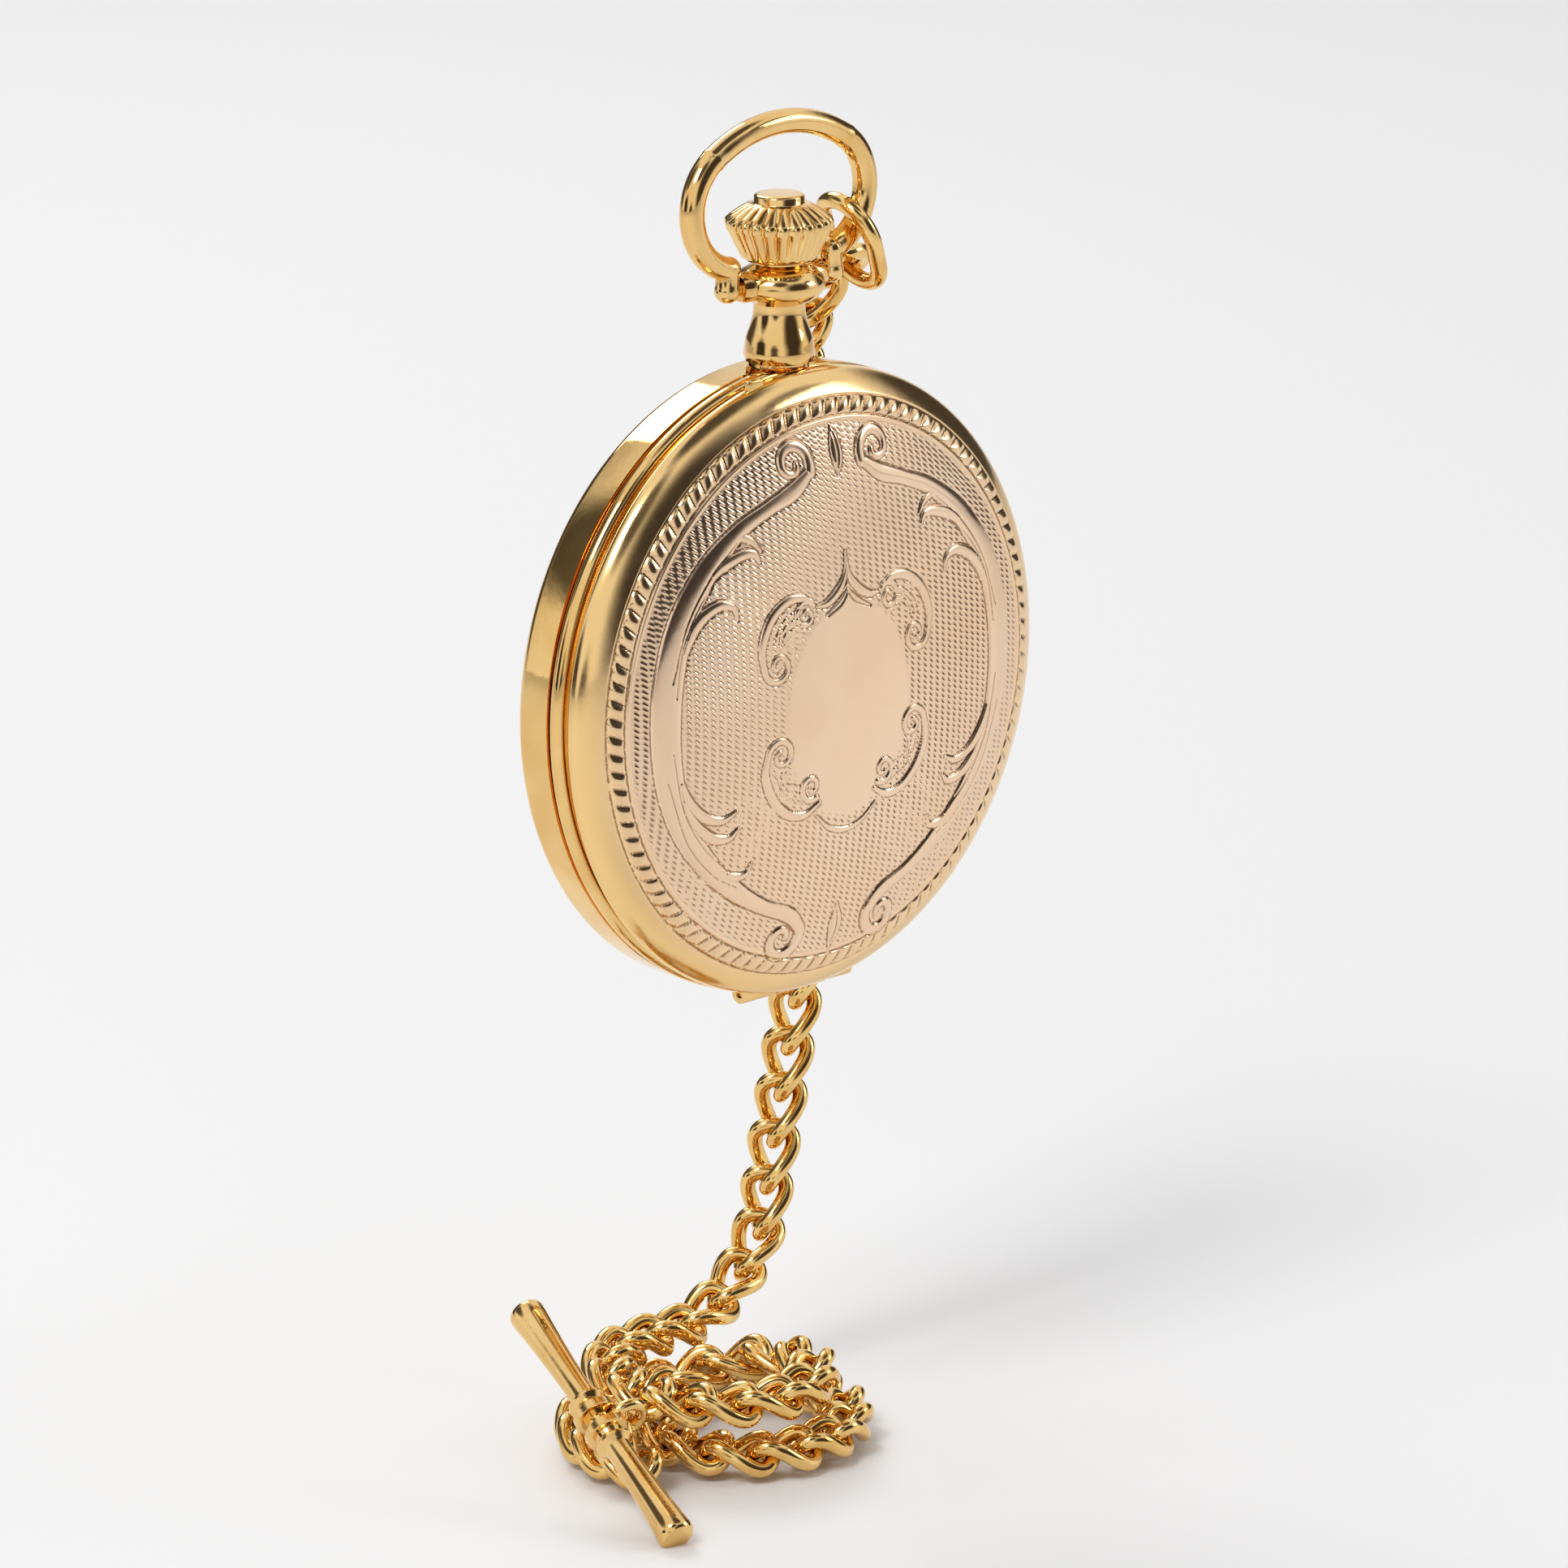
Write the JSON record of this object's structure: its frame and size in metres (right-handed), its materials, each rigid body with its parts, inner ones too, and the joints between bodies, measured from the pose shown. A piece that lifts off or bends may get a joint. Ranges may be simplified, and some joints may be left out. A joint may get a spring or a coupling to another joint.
{
  "type": "pocket watch",
  "caption": "Hunter-case pocket watch with a sprung hinged cover, oval bow, fluted push crown, lever movement and a curb chain ending in a T-bar.",
  "frame": {"origin": "where the winding stem's axis crosses the axis of the movement's centre wheel", "axes": "+Z to the pendant at 12 o'clock, -Y to the viewer of the dial and cover, +X to 3 o'clock on the dial"},
  "size_m": [0.0493, 0.0261, 0.1029],
  "materials": {
    "gold": "polished yellow gold with a slight ripple and fine hairline wear",
    "pale_gold": "pale rose-champagne gold, engraved and engine-turned, with a polished cartouche",
    "crystal": "clear domed glass",
    "dial_enamel": "ivory enamel with painted black numerals and tracks",
    "steel": "brushed and bevelled steel",
    "blued_steel": "heat-blued polished steel",
    "brass": "gilt brass with fine turning and frosting",
    "bridge_nickel": "nickel finish with broad ribbed stripes",
    "ruby": "polished synthetic ruby"
  },
  "bodies": {
    "case": {"middle_case": "gold", "pendant": "gold", "back_cover": "gold", "dust_cover": "gold", "bezel": "gold", "crystal": "crystal", "dial": "dial_enamel", "hinge_pin": "gold", "lid_spring": "steel", "lock_spring": "steel", "yoke": "steel", "click_spring": "steel", "main_plate": "brass", "barrel_bridge": "bridge_nickel", "train_bridge": "bridge_nickel", "balance_cock": "bridge_nickel", "pallet_cock": "bridge_nickel", "jewels": "ruby", "movement_screws": "blued_steel", "case_screws": "steel"},
    "lid": {"front_lid": "pale_gold"},
    "pinions": {"winding_pinion": "steel", "sliding_pinion": "steel"},
    "crown": {"crown": "gold", "winding_stem": "steel"},
    "setting_lever": {"setting_lever": "steel"},
    "crown_wheel": {"crown_wheel": "steel"},
    "ratchet": {"ratchet_wheel": "steel", "ratchet_screw": "blued_steel", "barrel_arbor": "steel"},
    "click": {"click": "steel"},
    "fourth": {"fourth_wheel": "brass", "second_hand": "blued_steel"},
    "third": {"third_wheel": "brass"},
    "center": {"center_wheel": "brass"},
    "barrel": {"barrel_drum": "brass", "mainspring": "steel"},
    "escape": {"escape_wheel": "brass"},
    "fork": {"pallet_fork": "steel"},
    "balance": {"balance_wheel": "brass", "hairspring": "blued_steel"},
    "minute": {"cannon_pinion": "steel", "minute_hand": "blued_steel"},
    "hour": {"hour_wheel": "brass", "hour_hand": "blued_steel"},
    "minute_wheel": {"minute_wheel": "brass"},
    "bow": {"bow": "gold"},
    "bow_ring": {"bow_ring": "gold"},
    "chain_top": {"chain_ring": "gold", "chain_top": "gold"},
    "chain_upper": {"chain_upper": "gold"},
    "chain_middle": {"chain_middle": "gold"},
    "chain_lower": {"chain_lower": "gold"},
    "chain_end": {"chain_end": "gold"},
    "chain_coil": {"chain_landing": "gold", "chain_coil_top": "gold", "chain_coil_middle": "gold", "chain_coil_low": "gold", "t_bar_ring": "gold"},
    "t_bar": {"t_bar": "gold"}
  },
  "joints": [
    {"name": "lid_hinge", "type": "hinge", "parent": "case", "child": "lid", "pos_m": [0, -0.0014, -0.0236], "axis": [1, 0, 0], "range_deg": [0, 88]},
    {"name": "crown_turn", "type": "hinge", "parent": "case", "child": "pinions", "pos_m": [0, 0, 0.015], "axis": [0, 0, 1], "continuous": true},
    {"name": "crown_press", "type": "slide", "parent": "pinions", "child": "crown", "axis": [0, 0, 1], "range_m": [-0.0004, 0.0009]},
    {"name": "setting_lever_rock", "type": "hinge", "parent": "case", "child": "setting_lever", "pos_m": [0.0034, -0.0016, 0.0164], "axis": [0, 1, 0], "range_deg": [-8.5, 15.3]},
    {"name": "crown_wheel_turn", "type": "hinge", "parent": "case", "child": "crown_wheel", "pos_m": [0, 0.0027, 0.01228], "axis": [0, -1, 0], "continuous": true},
    {"name": "ratchet_turn", "type": "hinge", "parent": "case", "child": "ratchet", "pos_m": [0.00519, 0.0027, 0.0066], "axis": [0, -1, 0], "continuous": true},
    {"name": "click_lift", "type": "hinge", "parent": "case", "child": "click", "pos_m": [0.0087, 0.0027, 0.0109], "axis": [0, -1, 0], "range_deg": [0, 12]},
    {"name": "seconds_turn", "type": "hinge", "parent": "case", "child": "fourth", "pos_m": [0, 0, -0.0086], "axis": [0, 1, 0], "continuous": true},
    {"name": "third_turn", "type": "hinge", "parent": "case", "child": "third", "pos_m": [0.00434, 0, -0.00517], "axis": [0, 1, 0], "continuous": true},
    {"name": "center_turn", "type": "hinge", "parent": "case", "child": "center", "pos_m": [0, 0, 0], "axis": [0, 1, 0], "continuous": true},
    {"name": "barrel_turn", "type": "hinge", "parent": "case", "child": "barrel", "pos_m": [0.00519, 0, 0.0066], "axis": [0, 1, 0], "continuous": true},
    {"name": "escape_turn", "type": "hinge", "parent": "case", "child": "escape", "pos_m": [-0.00428, 0.0012, -0.0096], "axis": [0, 1, 0], "continuous": true},
    {"name": "fork_rock", "type": "hinge", "parent": "case", "child": "fork", "pos_m": [-0.0072, 0.0012, -0.0064], "axis": [0, 1, 0], "range_deg": [-5, 5]},
    {"name": "balance_swing", "type": "hinge", "parent": "case", "child": "balance", "pos_m": [-0.0113, 0.002, -0.002], "axis": [0, 1, 0], "range_deg": [-270, 270]},
    {"name": "hands_turn", "type": "hinge", "parent": "case", "child": "minute", "pos_m": [0, -0.003, 0], "axis": [0, 1, 0], "continuous": true},
    {"name": "hour_turn", "type": "hinge", "parent": "case", "child": "hour", "pos_m": [0, -0.003, 0], "axis": [0, 1, 0], "continuous": true},
    {"name": "minute_wheel_turn", "type": "hinge", "parent": "case", "child": "minute_wheel", "pos_m": [-0.00338, -0.002, -0.00123], "axis": [0, 1, 0], "continuous": true},
    {"name": "bow_swing", "type": "hinge", "parent": "case", "child": "bow", "pos_m": [0, 0, 0.0303], "axis": [-1, 0, 0], "range_deg": [0, 35]},
    {"name": "ring_hang", "type": "hinge", "parent": "bow", "child": "bow_ring", "pos_m": [0.0076, 0, 0.0334], "axis": [-1, 0, 0], "range_deg": [-35, 0]},
    {"name": "chain_swing", "type": "hinge", "parent": "bow_ring", "child": "chain_top", "pos_m": [0.01016, 0.00184, 0.02868], "axis": [0, 1, 0], "range_deg": [-5, 5]},
    {"name": "chain_bend_1", "type": "hinge", "parent": "chain_top", "child": "chain_upper", "pos_m": [0.01025, 0.00899, 0.0147], "axis": [0, 1, 0], "range_deg": [-1.01, 1.01]},
    {"name": "chain_bend_2", "type": "hinge", "parent": "chain_upper", "child": "chain_middle", "pos_m": [0.01102, 0.00944, -0.00007], "axis": [0, 1, 0], "range_deg": [-1.01, 1.01]},
    {"name": "chain_bend_3", "type": "hinge", "parent": "chain_middle", "child": "chain_lower", "pos_m": [0.0118, 0.00948, -0.01485], "axis": [0, 1, 0], "range_deg": [-1.01, 1.01]},
    {"name": "chain_bend_4", "type": "hinge", "parent": "chain_lower", "child": "chain_end", "pos_m": [0.01109, 0.00949, -0.02957], "axis": [0, 1, 0], "range_deg": [-1.01, 1.01]},
    {"name": "chain_bend_5", "type": "hinge", "parent": "chain_end", "child": "chain_coil", "pos_m": [0.00702, 0.00949, -0.04747], "axis": [0, 1, 0], "range_deg": [-1.01, 1.01]},
    {"name": "t_bar_tilt", "type": "hinge", "parent": "chain_coil", "child": "t_bar", "pos_m": [-0.0197, -0.003, -0.0533], "axis": [1, 0, 0], "range_deg": [-10, 10]}
  ],
  "couplings": [
    {"joint": "setting_lever_rock", "follows": "crown_press", "rad_per_m": 294},
    {"joint": "crown_wheel_turn", "follows": "crown_turn", "ratio": 0.4},
    {"joint": "ratchet_turn", "follows": "crown_turn", "ratio": -0.33333},
    {"joint": "third_turn", "follows": "seconds_turn", "ratio": -0.13333},
    {"joint": "center_turn", "follows": "seconds_turn", "ratio": 0.016667},
    {"joint": "barrel_turn", "follows": "seconds_turn", "ratio": -0.0027778},
    {"joint": "escape_turn", "follows": "seconds_turn", "ratio": -10},
    {"joint": "hour_turn", "follows": "hands_turn", "ratio": 0.083333},
    {"joint": "minute_wheel_turn", "follows": "hands_turn", "ratio": -0.33333},
    {"joint": "ring_hang", "follows": "bow_swing", "ratio": -1},
    {"joint": "chain_bend_1", "follows": "chain_swing", "ratio": -0.2},
    {"joint": "chain_bend_2", "follows": "chain_swing", "ratio": -0.2},
    {"joint": "chain_bend_3", "follows": "chain_swing", "ratio": -0.2},
    {"joint": "chain_bend_4", "follows": "chain_swing", "ratio": -0.2},
    {"joint": "chain_bend_5", "follows": "chain_swing", "ratio": -0.2}
  ]
}
